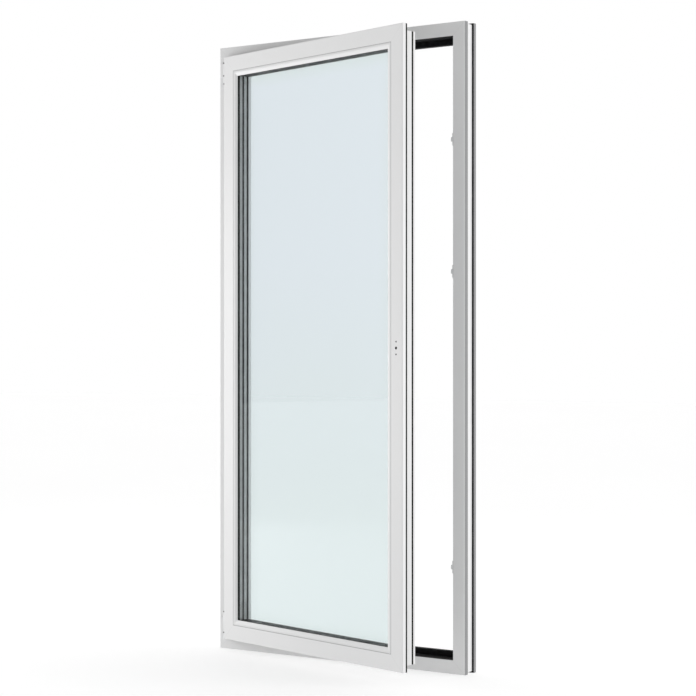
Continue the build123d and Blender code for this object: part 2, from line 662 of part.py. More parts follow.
with BuildPart() as lower_sash_hinge:
    add(sash_hinge(*LOWER_BARREL, LOWER_PIN_TOP + PIN_END_GAP, *LEAF_LOWER))
    add(sash_hinge_screws.part, mode=Mode.SUBTRACT)
save_on_sash(lower_sash_hinge.part, "lower_sash_hinge")

# Faceplates lie in the groove round the free edges; corner drives link them
PLATE_FRONT_DEPTH = GROOVE_FRONT + PLATE_CLEARANCE
PLATE_BACK_DEPTH = GROOVE_BACK - PLATE_CLEARANCE
CORNER_SCREWS = [CORNER_ARM - back for back in CORNER_SCREW_BACKS]

SCREW_PLACES = [("lock", place) for place in LOCK_SCREWS]
for rail in ("top", "bottom"):
    SCREW_PLACES += [(rail, place) for place in RAIL_SCREWS]
    SCREW_PLACES += [(rail, SASH_RIGHT - back) for back in CORNER_SCREWS]
for back in CORNER_SCREWS:
    SCREW_PLACES += [("lock", REVEAL + back), ("lock", SASH_TOP - back)]

with BuildPart() as faceplate_screws:
    for side, place in SCREW_PLACES:
        screw(on_side(side, place, PLATE_TOP, GROOVE_AXIS, True), *FACEPLATE_SCREW)
save_on_sash(faceplate_screws.part, "faceplate_screws")

with BuildPart() as handle_holes:
    axis_plane = Plane(
        origin=(SASH_RIGHT - HUB_INSET, SASH_FACE - 1, HANDLE_HEIGHT), x_dir=(1, 0, 0), z_dir=(0, 1, 0)
    )
    with BuildSketch(axis_plane):
        Circle(SPINDLE_HOLE)
        with Locations((0, HANDLE_SCREW_SPACING / 2), (0, -HANDLE_SCREW_SPACING / 2)):
            Circle(HANDLE_SCREW_HOLE)
    extrude(amount=1 + FLANGE)

SASH_NAMES = {
    "bottom": "sash_bottom_rail",
    "top": "sash_top_rail",
    "hinge": "sash_hinge_stile",
    "lock": "sash_lock_stile",
}
BEAD_NAMES = {
    "bottom": "bottom_glazing_bead",
    "top": "top_glazing_bead",
    "hinge": "hinge_side_glazing_bead",
    "lock": "lock_side_glazing_bead",
}
for side in SIDES:
    with BuildPart() as sash_member:
        add(sash_bar(side, sash_section))
        add(sash_hinge_screws.part, mode=Mode.SUBTRACT)
        add(faceplate_screws.part, mode=Mode.SUBTRACT)
        if side == "lock":
            add(handle_holes.part, mode=Mode.SUBTRACT)
            slab(
                SASH_RIGHT - CASE_REACH - CASE_POCKET_GAP, SASH_RIGHT - SASH_SIDE,
                SASH_FACE + GROOVE_FRONT + CASE_POCKET_GAP, SASH_FACE + GROOVE_BACK - CASE_POCKET_GAP,
                HANDLE_HEIGHT - CASE_HALF_LENGTH - 1, HANDLE_HEIGHT + CASE_HALF_LENGTH + 1,
                Mode.SUBTRACT,
            )
    save_on_sash(sash_member.part, SASH_NAMES[side])
    length = bar_length(side, SASH_WIDTH, SASH_HEIGHT)
    with BuildPart() as steel:
        add(steel_bar(
            sash_plane(side), length, SASH_SIDE + WALL, SASH_CHAMBER_IN, SASH_STEEL_FRONT,
            SASH_STEEL_BACK,
        ))
        add(sash_hinge_screws.part, mode=Mode.SUBTRACT)
    save_on_sash(steel.part, SASH_NAMES[side] + "_steel")
    save_on_sash(sash_bar(side, bead_section), BEAD_NAMES[side])

# Glass unit and its gaskets
MIDDLE_FRONT = GLASS_FRONT + PANE + GLASS_GAP
PANE_FRONTS = {
    "inner_pane": GLASS_FRONT,
    "middle_pane": MIDDLE_FRONT,
    "outer_pane": MIDDLE_FRONT + PANE + GLASS_GAP,
}
for name, front in PANE_FRONTS.items():
    with BuildPart() as pane:
        with BuildSketch(Plane.XZ.offset(-(SASH_FACE + front))):
            with Locations((0, HANDLE_HEIGHT)):
                Rectangle(SASH_WIDTH - 2 * GLASS_EDGE, SASH_HEIGHT - 2 * GLASS_EDGE)
        extrude(amount=-PANE)
    save_on_sash(pane.part, name)

for name, front in (("inner", GLASS_FRONT + PANE), ("outer", MIDDLE_FRONT + PANE)):
    spacer = ring(SPACER_BACK, SPACER_INNER, front, front + GLASS_GAP)
    save_on_sash(spacer, name + "_spacer_bar")
    save_on_sash(ring(GLASS_EDGE, SPACER_BACK, front, front + GLASS_GAP), name + "_edge_sealant")

save_on_sash(ring(SPACER_BACK, BEAD_NOSE - BEAD_GAP, BEAD_BACK, GLASS_FRONT), "bead_gasket")
outer_seal = ring(GLASS_EDGE + OUTER_SEAL_SETBACK, SASH_LIP + OUTER_SEAL_SHOW, GLASS_BACK, LIP_FRONT)
save_on_sash(outer_seal, "outer_glazing_gasket")

with BuildPart() as sash_overlap_gasket:
    overlap_end = OVERLAP_SEAL_INSET + OVERLAP_SEAL_WIDTH
    add(ring(OVERLAP_SEAL_INSET, overlap_end, FLANGE, SASH_PROUD - CLOSE_GAP))
    for low, high in (LEAF_UPPER, LEAF_LOWER):
        slab(
            -SASH_RIGHT, -SASH_RIGHT + SASH_SIDE, SASH_FACE + FLANGE, INDOOR_FACE, low - 1, high + 1,
            Mode.SUBTRACT,
        )
save_on_sash(sash_overlap_gasket.part, "sash_overlap_gasket")

rear_seal = ring(
    SASH_SIDE + REAR_SEAL_SETBACK, REAR_GROOVE_FLOOR, REAR_GROOVE_FRONT, REAR_GROOVE_BACK
)
save_on_sash(rear_seal, "sash_rebate_gasket")

PACKER_FRONT = SASH_FACE + BEAD_FOOT + PACKER_BEAD_GAP
PACKER_BACK = SASH_FACE + GLASS_BACK
with BuildPart() as glazing_packers:
    rail_x = SASH_WIDTH / 2 - GLASS_EDGE - PACKER_FROM_CORNER
    stile_z = SASH_HEIGHT / 2 - GLASS_EDGE - PACKER_FROM_CORNER
    for sign_x in (-1, 1):
        for sign_z in (-1, 1):
            middle = sign_x * (rail_x - PACKER_LENGTH / 2)
            edge = HANDLE_HEIGHT + sign_z * (SASH_HEIGHT / 2 - GLASS_EDGE)
            floor = HANDLE_HEIGHT + sign_z * (SASH_HEIGHT / 2 - GLASS_REBATE)
            slab(
                middle - PACKER_LENGTH / 2, middle + PACKER_LENGTH / 2, PACKER_FRONT, PACKER_BACK,
                min(edge, floor), max(edge, floor),
            )
            height = HANDLE_HEIGHT + sign_z * (stile_z - PACKER_LENGTH / 2)
            edge = sign_x * (SASH_WIDTH / 2 - GLASS_EDGE)
            floor = sign_x * (SASH_WIDTH / 2 - GLASS_REBATE)
            slab(
                min(edge, floor), max(edge, floor), PACKER_FRONT, PACKER_BACK,
                height - PACKER_LENGTH / 2, height + PACKER_LENGTH / 2,
            )
save_on_sash(glazing_packers.part, "glazing_packers")


# Lock drive ----------------------------------------------------------------------------------

HUB_X = SASH_RIGHT - HUB_INSET
CASE_FRONT = GROOVE_AXIS - CASE_HALF_DEPTH
CASE_BACK = GROOVE_AXIS + CASE_HALF_DEPTH
CASE_MOUTH = PLATE_BOTTOM
CAVITY_FRONT = CASE_FRONT + CASE_WALL
CAVITY_BACK = CASE_BACK - CASE_WALL
SHANK_SLOT = 2 * CAM_SHANK + SLOT_ROOM


def depth_plane(depth):
    """Elevation plane at one depth behind the sash face, its normal pointing outdoors."""
    return Plane(origin=(HUB_X, SASH_FACE + depth, HANDLE_HEIGHT), x_dir=(1, 0, 0), z_dir=(0, 1, 0))


with BuildPart() as gearbox_case:
    slab(
        SASH_RIGHT - CASE_REACH, SASH_RIGHT - CASE_MOUTH, SASH_FACE + CASE_FRONT,
        SASH_FACE + CASE_BACK, HANDLE_HEIGHT - CASE_HALF_LENGTH, HANDLE_HEIGHT + CASE_HALF_LENGTH,
    )
    slab(
        SASH_RIGHT - CASE_REACH + CASE_WALL, SASH_RIGHT - CASE_MOUTH, SASH_FACE + CAVITY_FRONT,
        SASH_FACE + CAVITY_BACK, HANDLE_HEIGHT - CASE_HALF_LENGTH + CASE_WALL,
        HANDLE_HEIGHT + CASE_HALF_LENGTH - CASE_WALL, Mode.SUBTRACT,
    )
    slab(
        SASH_RIGHT - ROD_BOTTOM - DRIVE_GAP, SASH_RIGHT - CASE_MOUTH, SASH_FACE + CAVITY_FRONT,
        SASH_FACE + CAVITY_BACK, HANDLE_HEIGHT - CASE_HALF_LENGTH - 1,
        HANDLE_HEIGHT + CASE_HALF_LENGTH + 1, Mode.SUBTRACT,
    )
    with BuildSketch(depth_plane(CAVITY_FRONT)):
        with Locations((0, HANDLE_SCREW_SPACING / 2), (0, -HANDLE_SCREW_SPACING / 2)):
            Circle(SCREW_BOSS_RADIUS)
    extrude(amount=CAVITY_BACK - CAVITY_FRONT)
    with BuildSketch(depth_plane(CASE_FRONT)):
        with Locations((0, HANDLE_SCREW_SPACING / 2), (0, -HANDLE_SCREW_SPACING / 2)):
            Circle(CASE_SCREW_RADIUS)
    extrude(amount=CASE_BACK - CASE_FRONT, mode=Mode.SUBTRACT)
    with BuildSketch(depth_plane(CASE_FRONT)):
        Circle(HUB_RADIUS + FIT)
    extrude(amount=CASE_BACK - CASE_FRONT, mode=Mode.SUBTRACT)
save_on_sash(gearbox_case.part, "gearbox_case")


def tooth(root, tip, middle=0.0):
    """A straight-sided tooth that points along local X."""
    with BuildLine() as flank:
        Polyline(
            (root, middle - TOOTH_HALF_ROOT), (tip, middle - TOOTH_HALF_TIP),
            (tip, middle + TOOTH_HALF_TIP), (root, middle + TOOTH_HALF_ROOT), close=True,
        )
    make_face(flank.edges())


ROOT_RADIUS = RACK_RADIUS - TOOTH_ROOT
TOOTH_HALF_TIP = TIP_SHARE * TOOTH_PITCH
TOOTH_HALF_ROOT = ROOT_SHARE * TOOTH_PITCH
GEAR_FRONT = CAVITY_FRONT + GEAR_SIDE_GAP
GEAR_BACK = CAVITY_BACK - GEAR_SIDE_GAP
SECTOR_TEETH = TEETH_PER_THROW + SPARE_TEETH
SECTOR_START = -TOOTH_ANGLE

# Seen from outdoors the local X axis points to the lock side, so the rack is at 180 degrees
with BuildPart() as spindle_hub:
    with BuildSketch(depth_plane(CASE_FRONT)):
        Circle(HUB_RADIUS)
    extrude(amount=CASE_BACK - CASE_FRONT)
    with BuildSketch(depth_plane(GEAR_FRONT)):
        with BuildLine():
            sector_low = 180 + SECTOR_START - TOOTH_ANGLE / 2
            sector_size = SECTOR_TEETH * TOOTH_ANGLE
            rim = CenterArc((0, 0), ROOT_RADIUS, sector_low, sector_size)
            Line((0, 0), rim @ 0)
            Line(rim @ 1, (0, 0))
        make_face()
        with BuildSketch(mode=Mode.PRIVATE) as one_tooth:
            tooth(ROOT_RADIUS - 1, RACK_RADIUS + TOOTH_HEIGHT)
        for index in range(SECTOR_TEETH):
            add(one_tooth.sketch, rotation=180 + SECTOR_START + index * TOOTH_ANGLE)
    extrude(amount=GEAR_BACK - GEAR_FRONT)
    with BuildSketch(depth_plane(CASE_FRONT)):
        Rectangle(SPINDLE_SQUARE, SPINDLE_SQUARE)
    extrude(amount=CASE_BACK - CASE_FRONT, mode=Mode.SUBTRACT)
save_on_sash(spindle_hub.part, "spindle_hub")

RACK_X = HUB_X - RACK_RADIUS
RACK_ROOT = RACK_X - TOOTH_ROOT
RACK_BACK = RACK_ROOT - RACK_BAR
CARRIAGE_LOW = HANDLE_HEIGHT - CARRIAGE_DROP
CARRIAGE_HIGH = HANDLE_HEIGHT + CARRIAGE_RISE
ROD_FRONT = SASH_FACE + CHANNEL_FRONT + ROD_CLEARANCE
ROD_BACK = SASH_FACE + CHANNEL_BACK - ROD_CLEARANCE


def rod_slot(side, place, direction):
    """A slot that lets the rod slide past a fixed faceplate screw."""
    plane = on_side(side, place, ROD_TOP - 1, GROOVE_AXIS, True)
    shift = along_axis(side) * (-direction * THROW / 2)
    slot_plane = Plane(origin=plane.origin + shift, x_dir=along_axis(side), z_dir=plane.z_dir)
    with BuildSketch(slot_plane) as slot:
        SlotOverall(THROW + SCREW_SLOT + 2 * SLOT_ROOM, SCREW_SLOT)
    extrude(slot.sketch, amount=ROD_THICKNESS + 2, mode=Mode.SUBTRACT)


def cam_slot(side, place, direction):
    """A slot in a faceplate along which one cam travels."""
    plane = on_side(side, place, PLATE_TOP - 1, GROOVE_AXIS, True)
    shift = along_axis(side) * (direction * THROW / 2)
    slot_plane = Plane(origin=plane.origin + shift, x_dir=along_axis(side), z_dir=plane.z_dir)
    with BuildSketch(slot_plane) as slot:
        SlotOverall(THROW + SHANK_SLOT + SLOT_ROOM, SHANK_SLOT)
    extrude(slot.sketch, amount=GROOVE_DEPTH + 2, mode=Mode.SUBTRACT)


def cam(side, place):
    """A mushroom cam that stands on its rod and reaches across the air gap."""
    with BuildSketch(on_side(side, place, ROD_TOP, GROOVE_AXIS, False)) as shank:
        Circle(CAM_SHANK)
    extrude(shank.sketch, amount=ROD_TOP - CAM_TIP)
    with BuildSketch(on_side(side, place, CAM_TIP + CAM_HEAD, GROOVE_AXIS, False)) as head:
        Circle(CAM_RADIUS)
    extrude(head.sketch, amount=CAM_HEAD)


with BuildPart() as lock_rod:
    slab(
        SASH_RIGHT - ROD_BOTTOM, SASH_RIGHT - ROD_TOP, ROD_FRONT, ROD_BACK,
        REVEAL + ROD_END, SASH_TOP - ROD_END,
    )
    for low in (CARRIAGE_LOW, CARRIAGE_HIGH - CARRIAGE_LEG):
        slab(
            RACK_BACK, SASH_RIGHT - ROD_TOP, SASH_FACE + GEAR_FRONT, SASH_FACE + GEAR_BACK,
            low, low + CARRIAGE_LEG,
        )
    slab(
        RACK_BACK, RACK_ROOT, SASH_FACE + GEAR_FRONT, SASH_FACE + GEAR_BACK,
        CARRIAGE_LOW, CARRIAGE_HIGH,
    )
    for index in range(-SPARE_TEETH, TEETH_PER_THROW + SPARE_TEETH):
        height = (index + 0.5) * TOOTH_PITCH
        with BuildSketch(depth_plane(GEAR_FRONT)):
            tooth(RACK_ROOT - HUB_X - 0.5, RACK_X - HUB_X + TOOTH_HEIGHT, -height)
        extrude(amount=GEAR_BACK - GEAR_FRONT)
    for place in LOCK_SCREWS:
        rod_slot("lock", place, -1)
save_on_sash(lock_rod.part, "lock_rod")

with BuildPart() as lock_cams:
    for place in LOCK_CAMS:
        cam("lock", place)
save_on_sash(lock_cams.part, "lock_cams")

with BuildPart() as lock_faceplate:
    slab(
        SASH_RIGHT - PLATE_BOTTOM, SASH_RIGHT - PLATE_TOP, SASH_FACE + PLATE_FRONT_DEPTH,
        SASH_FACE + PLATE_BACK_DEPTH, REVEAL + CORNER_ARM + CORNER_GAP, SASH_TOP - CORNER_ARM - CORNER_GAP,
    )
    for place in LOCK_CAMS:
        cam_slot("lock", place, -1)
    add(faceplate_screws.part, mode=Mode.SUBTRACT)
save_on_sash(lock_faceplate.part, "lock_faceplate")

RAIL_ROD_HINGE_END = -SASH_RIGHT + ROD_END
for side, direction in (("top", 1), ("bottom", -1)):
    inward = -1 if side == "top" else 1
    edge = SASH_TOP if side == "top" else REVEAL
    rod_levels = sorted((edge + inward * ROD_TOP, edge + inward * ROD_BOTTOM))
    plate_levels = sorted((edge + inward * PLATE_TOP, edge + inward * PLATE_BOTTOM))
    with BuildPart() as rail_rod:
        slab(RAIL_ROD_HINGE_END, SASH_RIGHT - ROD_END, ROD_FRONT, ROD_BACK, *rod_levels)
        for place in RAIL_SCREWS:
            rod_slot(side, place, direction)
    save_on_sash(rail_rod.part, side + "_rod")
    with BuildPart() as rail_cams:
        for place in RAIL_CAMS:
            cam(side, place)
    save_on_sash(rail_cams.part, side + "_cams")
    with BuildPart() as rail_faceplate:
        slab(
            -SASH_RIGHT + CORNER_ARM, SASH_RIGHT - CORNER_ARM - CORNER_GAP, SASH_FACE + PLATE_FRONT_DEPTH,
            SASH_FACE + PLATE_BACK_DEPTH, *plate_levels,
        )
        for place in RAIL_CAMS:
            cam_slot(side, place, direction)
        add(faceplate_screws.part, mode=Mode.SUBTRACT)
    save_on_sash(rail_faceplate.part, side + "_faceplate")
    with BuildPart() as corner_drive:
        slab(
            SASH_RIGHT - CORNER_ARM, SASH_RIGHT - PLATE_TOP, SASH_FACE + PLATE_FRONT_DEPTH,
            SASH_FACE + PLATE_BACK_DEPTH, *plate_levels,
        )
        arm_levels = sorted((edge + inward * PLATE_TOP, edge + inward * CORNER_ARM))
        slab(
            SASH_RIGHT - PLATE_BOTTOM, SASH_RIGHT - PLATE_TOP, SASH_FACE + PLATE_FRONT_DEPTH,
            SASH_FACE + PLATE_BACK_DEPTH, *arm_levels,
        )
        add(faceplate_screws.part, mode=Mode.SUBTRACT)
    save_on_sash(corner_drive.part, side + "_corner_drive")
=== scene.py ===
import json
import math

import bpy
from mathutils import Matrix, Vector


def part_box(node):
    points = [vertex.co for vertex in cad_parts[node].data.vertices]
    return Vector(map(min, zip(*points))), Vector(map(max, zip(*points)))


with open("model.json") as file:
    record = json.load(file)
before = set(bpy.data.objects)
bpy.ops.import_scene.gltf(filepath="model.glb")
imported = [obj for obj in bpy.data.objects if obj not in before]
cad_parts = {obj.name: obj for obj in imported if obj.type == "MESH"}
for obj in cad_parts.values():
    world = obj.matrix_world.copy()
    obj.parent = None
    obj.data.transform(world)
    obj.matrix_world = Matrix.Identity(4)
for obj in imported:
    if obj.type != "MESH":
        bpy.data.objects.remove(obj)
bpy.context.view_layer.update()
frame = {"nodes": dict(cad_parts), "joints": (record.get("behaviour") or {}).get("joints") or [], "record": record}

NODES = frame["nodes"]

# The stored sash stands ajar about the hinge line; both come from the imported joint.
SASH_JOINT = next(joint for joint in frame["joints"] if joint["name"] == "sash_turn")
PIN = Vector(SASH_JOINT["pos_m"])
AJAR = math.radians(-SASH_JOINT["range_deg"][0])
FRAME_LOW, FRAME_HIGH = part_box("frame_sill")[0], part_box("frame_head")[1]
FRAME_CENTRE = (FRAME_LOW + FRAME_HIGH) / 2


def closed(point):
    """Where a point of the ajar sash lies once the sash is turned shut."""
    return Matrix.Rotation(AJAR, 3, "Z") @ (Vector(point) - PIN) + PIN


def closed_box(node):
    """Lowest and highest corners of a sash node with the sash turned shut."""
    points = [closed(v.co) for v in NODES[node].data.vertices]
    low = Vector([min(p[i] for p in points) for i in range(3)])
    high = Vector([max(p[i] for p in points) for i in range(3)])
    return low, high


SASH_LOW = closed_box("sash_bottom_rail")[0]
SASH_HIGH = closed_box("sash_top_rail")[1]
INNER_CAVITY = closed_box("inner_spacer_bar")
OUTER_CAVITY = closed_box("outer_spacer_bar")
PANE_LOW, PANE_HIGH = closed_box("middle_pane")

# Materials -------------------------------------------------------------------------------


class Material:
    """One procedural material, with short helpers for the nodes that all of them use."""

    def __init__(self, name):
        self.material = bpy.data.materials.new(name)
        self.material.use_nodes = True
        self.tree = self.material.node_tree
        self.shader = self.tree.nodes["Principled BSDF"]
        self.place = self.tree.nodes.new("ShaderNodeTexCoord").outputs["Object"]

    def node(self, kind, **settings):
        made = self.tree.nodes.new(kind)
        for key, value in settings.items():
            setattr(made, key, value)
        return made

    def join(self, output, socket):
        self.tree.links.new(output, socket)

    def maths(self, operation, first, second=None):
        made = self.node("ShaderNodeMath", operation=operation)
        for socket, value in zip(made.inputs, (first, second)):
            if value is None:
                continue
            if isinstance(value, (int, float)):
                socket.default_value = value
            else:
                self.join(value, socket)
        return made.outputs[0]

    def noise(self, scale, detail=3.0, roughness=0.5, stretch=(1, 1, 1)):
        mapping = self.node("ShaderNodeMapping")
        mapping.inputs["Scale"].default_value = stretch
        self.join(self.place, mapping.inputs["Vector"])
        made = self.node("ShaderNodeTexNoise")
        made.inputs["Scale"].default_value = scale
        made.inputs["Detail"].default_value = detail
        made.inputs["Roughness"].default_value = roughness
        self.join(mapping.outputs[0], made.inputs["Vector"])
        return made.outputs["Fac"]

    def blend(self, factor, first, second):
        made = self.node("ShaderNodeMix", data_type="RGBA")
        self.join(factor, made.inputs["Factor"])
        for socket, value in ((made.inputs[6], first), (made.inputs[7], second)):
            if isinstance(value, tuple):
                socket.default_value = (*value, 1)
            else:
                self.join(value, socket)
        return made.outputs[2]

    def spread(self, value, low, high, from_low=0.0, from_high=1.0):
        made = self.node("ShaderNodeMapRange")
        self.join(value, made.inputs["Value"])
        made.inputs["From Min"].default_value = from_low
        made.inputs["From Max"].default_value = from_high
        made.inputs["To Min"].default_value = low
        made.inputs["To Max"].default_value = high
        return made.outputs[0]

    def tint(self, tone, first, second, from_low=0.35, from_high=0.65):
        """Base colour between two colours, by the middle of a tone's range."""
        colour = self.blend(self.spread(tone, 0.0, 1.0, from_low, from_high), first, second)
        self.join(colour, self.shader.inputs["Base Color"])

    def roughen(self, tone, low, high, from_low=0.3, from_high=0.7):
        self.join(self.spread(tone, low, high, from_low, from_high), self.shader.inputs["Roughness"])

    def bump(self, height, distance, strength=1.0):
        made = self.node("ShaderNodeBump")
        made.inputs["Distance"].default_value = distance
        made.inputs["Strength"].default_value = strength
        self.join(height, made.inputs["Height"])
        self.join(made.outputs[0], self.shader.inputs["Normal"])

    def inward(self, centre, half_width, half_height, turn):
        """Distances in from the side edges and the top and bottom edges, and the depth."""
        shifted = self.node("ShaderNodeVectorMath", operation="SUBTRACT")
        shifted.inputs[1].default_value = PIN
        self.join(self.place, shifted.inputs[0])
        turned = self.node("ShaderNodeVectorRotate", rotation_type="Z_AXIS")
        turned.inputs["Angle"].default_value = turn
        self.join(shifted.outputs[0], turned.inputs["Vector"])
        parts = self.node("ShaderNodeSeparateXYZ")
        self.join(turned.outputs[0], parts.inputs[0])
        across = self.maths("ABSOLUTE", self.maths("ADD", parts.outputs["X"], PIN.x - centre.x))
        up = self.maths("ABSOLUTE", self.maths("ADD", parts.outputs["Z"], PIN.z - centre.z))
        from_side = self.maths("SUBTRACT", half_width, across)
        from_end = self.maths("SUBTRACT", half_height, up)
        depth = self.maths("ADD", parts.outputs["Y"], PIN.y)
        return from_side, from_end, depth

    def near(self, value, width):
        """1 within width of zero, falling to 0 over another width."""
        return self.spread(self.maths("ABSOLUTE", value), 1.0, 0.0, width, 2 * width)

    def within(self, value, low, high):
        """1 between two values and 0 outside them."""
        above = self.maths("GREATER_THAN", value, low)
        return self.maths("MULTIPLY", above, self.maths("LESS_THAN", value, high))


def shade(colour, share):
    """A colour dimmed to a share of its brightness."""
    return tuple(share * part for part in colour)


PVC = (0.80, 0.80, 0.80)
PVC_SHADE = (0.785, 0.786, 0.788)
SEAM_WIDTH = 0.00035
SEAM_GREY = (0.60, 0.60, 0.605)
RIB_SKIN = 0.0004
RIB_GREY = (0.25, 0.252, 0.255)
JOINT_WIDTH = 0.0006
JOINT_GREY = (0.33, 0.332, 0.335)
BEAD_JOINT = closed_box("hinge_side_glazing_bead")[0].x - SASH_LOW.x
# Painted shade in the sash behind its face: a near-black colour standing in for the shade in its chambers seen
# through the holes, with its bands given as distances in from the face and from the edges
CHAMBER_SHADE = (0.012, 0.012, 0.013)
CHAMBER_SHADE_DEPTH = (0.0006, 0.0165)
CHAMBER_SHADE_INSET = (0.0028, 0.057)


def white_pvc(name, low, high, turn, grey_ribs=False, bead_joint_and_chamber_shade=False):
    """Extruded window plastic: an uneven gloss, fine peel and cleaned weld seams; on the sash also a bead joint
    line and painted shade in its chambers.
    """
    made = Material(name)
    centre, half = (low + high) / 2, (high - low) / 2
    tone = made.noise(1.8, 3.0, 0.5)
    colour = made.blend(made.spread(tone, 0.0, 1.0, 0.35, 0.65), PVC, PVC_SHADE)
    side, end, depth = made.inward(centre, half.x, half.z, turn)
    seam = made.near(made.maths("SUBTRACT", side, end), SEAM_WIDTH)
    colour = made.blend(made.maths("MULTIPLY", seam, 0.5), colour, SEAM_GREY)
    edge = made.maths("MINIMUM", side, end)
    if grey_ribs:
        colour = made.blend(made.maths("LESS_THAN", edge, RIB_SKIN), colour, RIB_GREY)
    if bead_joint_and_chamber_shade:
        bead_joint = made.near(made.maths("SUBTRACT", edge, BEAD_JOINT), JOINT_WIDTH)
        colour = made.blend(bead_joint, colour, JOINT_GREY)
        # Painted shade: the walls behind the sash face, in its chambers, are coloured near black where shade falls
        # into the holes
        behind = made.maths("SUBTRACT", depth, low.y)
        chamber_shade_mask = made.maths("MULTIPLY", made.within(behind, *CHAMBER_SHADE_DEPTH), made.within(edge, *CHAMBER_SHADE_INSET))
        colour = made.blend(chamber_shade_mask, colour, CHAMBER_SHADE)
    made.join(colour, made.shader.inputs["Base Color"])
    streak = made.noise(90.0, 2.0, 0.5)
    made.roughen(streak, 0.38, 0.48)
    peel = made.noise(700.0, 2.0, 0.5)
    height = made.maths("SUBTRACT", made.maths("MULTIPLY", peel, 0.05), made.maths("MULTIPLY", seam, 0.9))
    made.bump(height, 0.00012, 0.25)
    made.shader.inputs["IOR"].default_value = 1.45
    made.shader.inputs["Specular IOR Level"].default_value = 0.3
    made.shader.inputs["Coat Weight"].default_value = 0.04
    made.shader.inputs["Coat Roughness"].default_value = 0.2
    return made.material


def rubber(name, base, sheen):
    """Black rubber with a dusty bloom and a fine grain."""
    made = Material(name)
    bloom = made.noise(60.0, 5.0, 0.65)
    made.tint(bloom, base, sheen, 0.4, 0.75)
    made.roughen(made.noise(140.0, 3.0), 0.55, 0.75)
    made.bump(made.noise(900.0, 2.0), 0.0001, 0.4)
    made.shader.inputs["Specular IOR Level"].default_value = 0.1
    return made.material


def metal(name, colour, low, high, grain=(1, 1, 1), scale=220.0):
    """Plated or brushed steel with uneven polish."""
    made = Material(name)
    wear = made.noise(scale, 4.0, 0.6, grain)
    made.tint(wear, colour, shade(colour, 0.82))
    made.roughen(wear, low, high)
    made.bump(wear, 0.00006, 0.4)
    made.shader.inputs["Metallic"].default_value = 1.0
    return made.material


def galvanised(name):
    """Hot-dipped zinc with crystal spangle."""
    made = Material(name)
    cells = made.node("ShaderNodeTexVoronoi")
    cells.inputs["Scale"].default_value = 130.0
    made.join(made.place, cells.inputs["Vector"])
    tone = made.node("ShaderNodeSeparateColor")
    made.join(cells.outputs["Color"], tone.inputs[0])
    made.join(
        made.blend(tone.outputs[0], (0.42, 0.44, 0.46), (0.62, 0.64, 0.65)), made.shader.inputs["Base Color"]
    )
    made.roughen(tone.outputs[1], 0.32, 0.55, 0.0, 1.0)
    made.shader.inputs["Metallic"].default_value = 1.0
    return made.material


PAINT_WHITE = (0.80, 0.805, 0.81)


def painted(name):
    """White powder coat: fine orange peel, slightly uneven gloss."""
    made = Material(name)
    tone = made.noise(45.0, 4.0)
    made.tint(tone, PAINT_WHITE, shade(PAINT_WHITE, 0.94))
    made.roughen(made.noise(160.0), 0.28, 0.42)
    made.bump(made.noise(1100.0, 2.0), 0.00008, 0.5)
    made.shader.inputs["Coat Weight"].default_value = 0.25
    made.shader.inputs["Coat Roughness"].default_value = 0.15
    return made


# Painted shade: black bands at the ends of the sash hinge barrels stand in for the shadow in the gaps between the
# hinge parts
BARREL_END_SHADE_HEIGHT = 0.0048
BARREL_END_SHADE = (0.02, 0.02, 0.021)


def hinge_paint(name):
    """White powder coat with painted shade, a black band, at both ends of each sash barrel."""
    made = painted(name)
    up = made.node("ShaderNodeSeparateXYZ")
    made.join(made.place, up.inputs[0])
    barrel_end_shade = None
    for hinge in ("upper_sash_hinge", "lower_sash_hinge"):
        low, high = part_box(hinge)[0].z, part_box(hinge)[1].z
        for start in (low, high - BARREL_END_SHADE_HEIGHT):
            ring = made.within(up.outputs["Z"], start, start + BARREL_END_SHADE_HEIGHT)
            barrel_end_shade = ring if barrel_end_shade is None else made.maths("ADD", barrel_end_shade, ring)
    plain = made.shader.inputs["Base Color"].links[0].from_socket
    made.join(made.blend(barrel_end_shade, plain, BARREL_END_SHADE), made.shader.inputs["Base Color"])
    return made.material


BUTYL = 0.003
BUTYL_BLACK = (0.006, 0.006, 0.006)
SPACER_LIGHT = (0.90, 0.905, 0.91)
SPACER_DARK = (0.78, 0.785, 0.79)
SPACER_TOP_BOTTOM_SHADE = (0.012, 0.0125, 0.013)
SPACER_RIB_PITCH = 0.003


def spacer(name):
    """Light grey warm-edge bar: fine ribs, black butyl where it is bonded to the panes, and painted shade on the
    top and bottom runs.
    """
    made = Material(name)
    half = (PANE_HIGH - PANE_LOW) / 2
    side, end, depth = made.inward((PANE_LOW + PANE_HIGH) / 2, half.x, half.z, AJAR)
    tone = made.noise(35.0, 3.0)
    colour = made.blend(made.spread(tone, 0.0, 1.0, 0.35, 0.65), SPACER_LIGHT, SPACER_DARK)
    rib = made.maths("SINE", made.maths("MULTIPLY", depth, 2 * math.pi / SPACER_RIB_PITCH))
    colour = made.blend(made.spread(rib, 0.0, 0.3, -1.0, 1.0), colour, SPACER_DARK)
    # Painted shade: the top and bottom runs of the bars are coloured near black for the shade they lie in at the
    # head and sill
    colour = made.blend(made.maths("LESS_THAN", end, side), colour, SPACER_TOP_BOTTOM_SHADE)
    butyl = made.maths("LESS_THAN", depth, INNER_CAVITY[0].y + BUTYL)
    between = made.within(depth, INNER_CAVITY[1].y - BUTYL, OUTER_CAVITY[0].y + BUTYL)
    behind = made.maths("GREATER_THAN", depth, OUTER_CAVITY[1].y - BUTYL)
    butyl = made.maths("ADD", made.maths("ADD", butyl, between), behind)
    made.join(made.blend(butyl, colour, BUTYL_BLACK), made.shader.inputs["Base Color"])
    made.roughen(tone, 0.42, 0.6)
    made.bump(rib, 0.00012, 0.4)
    return made.material


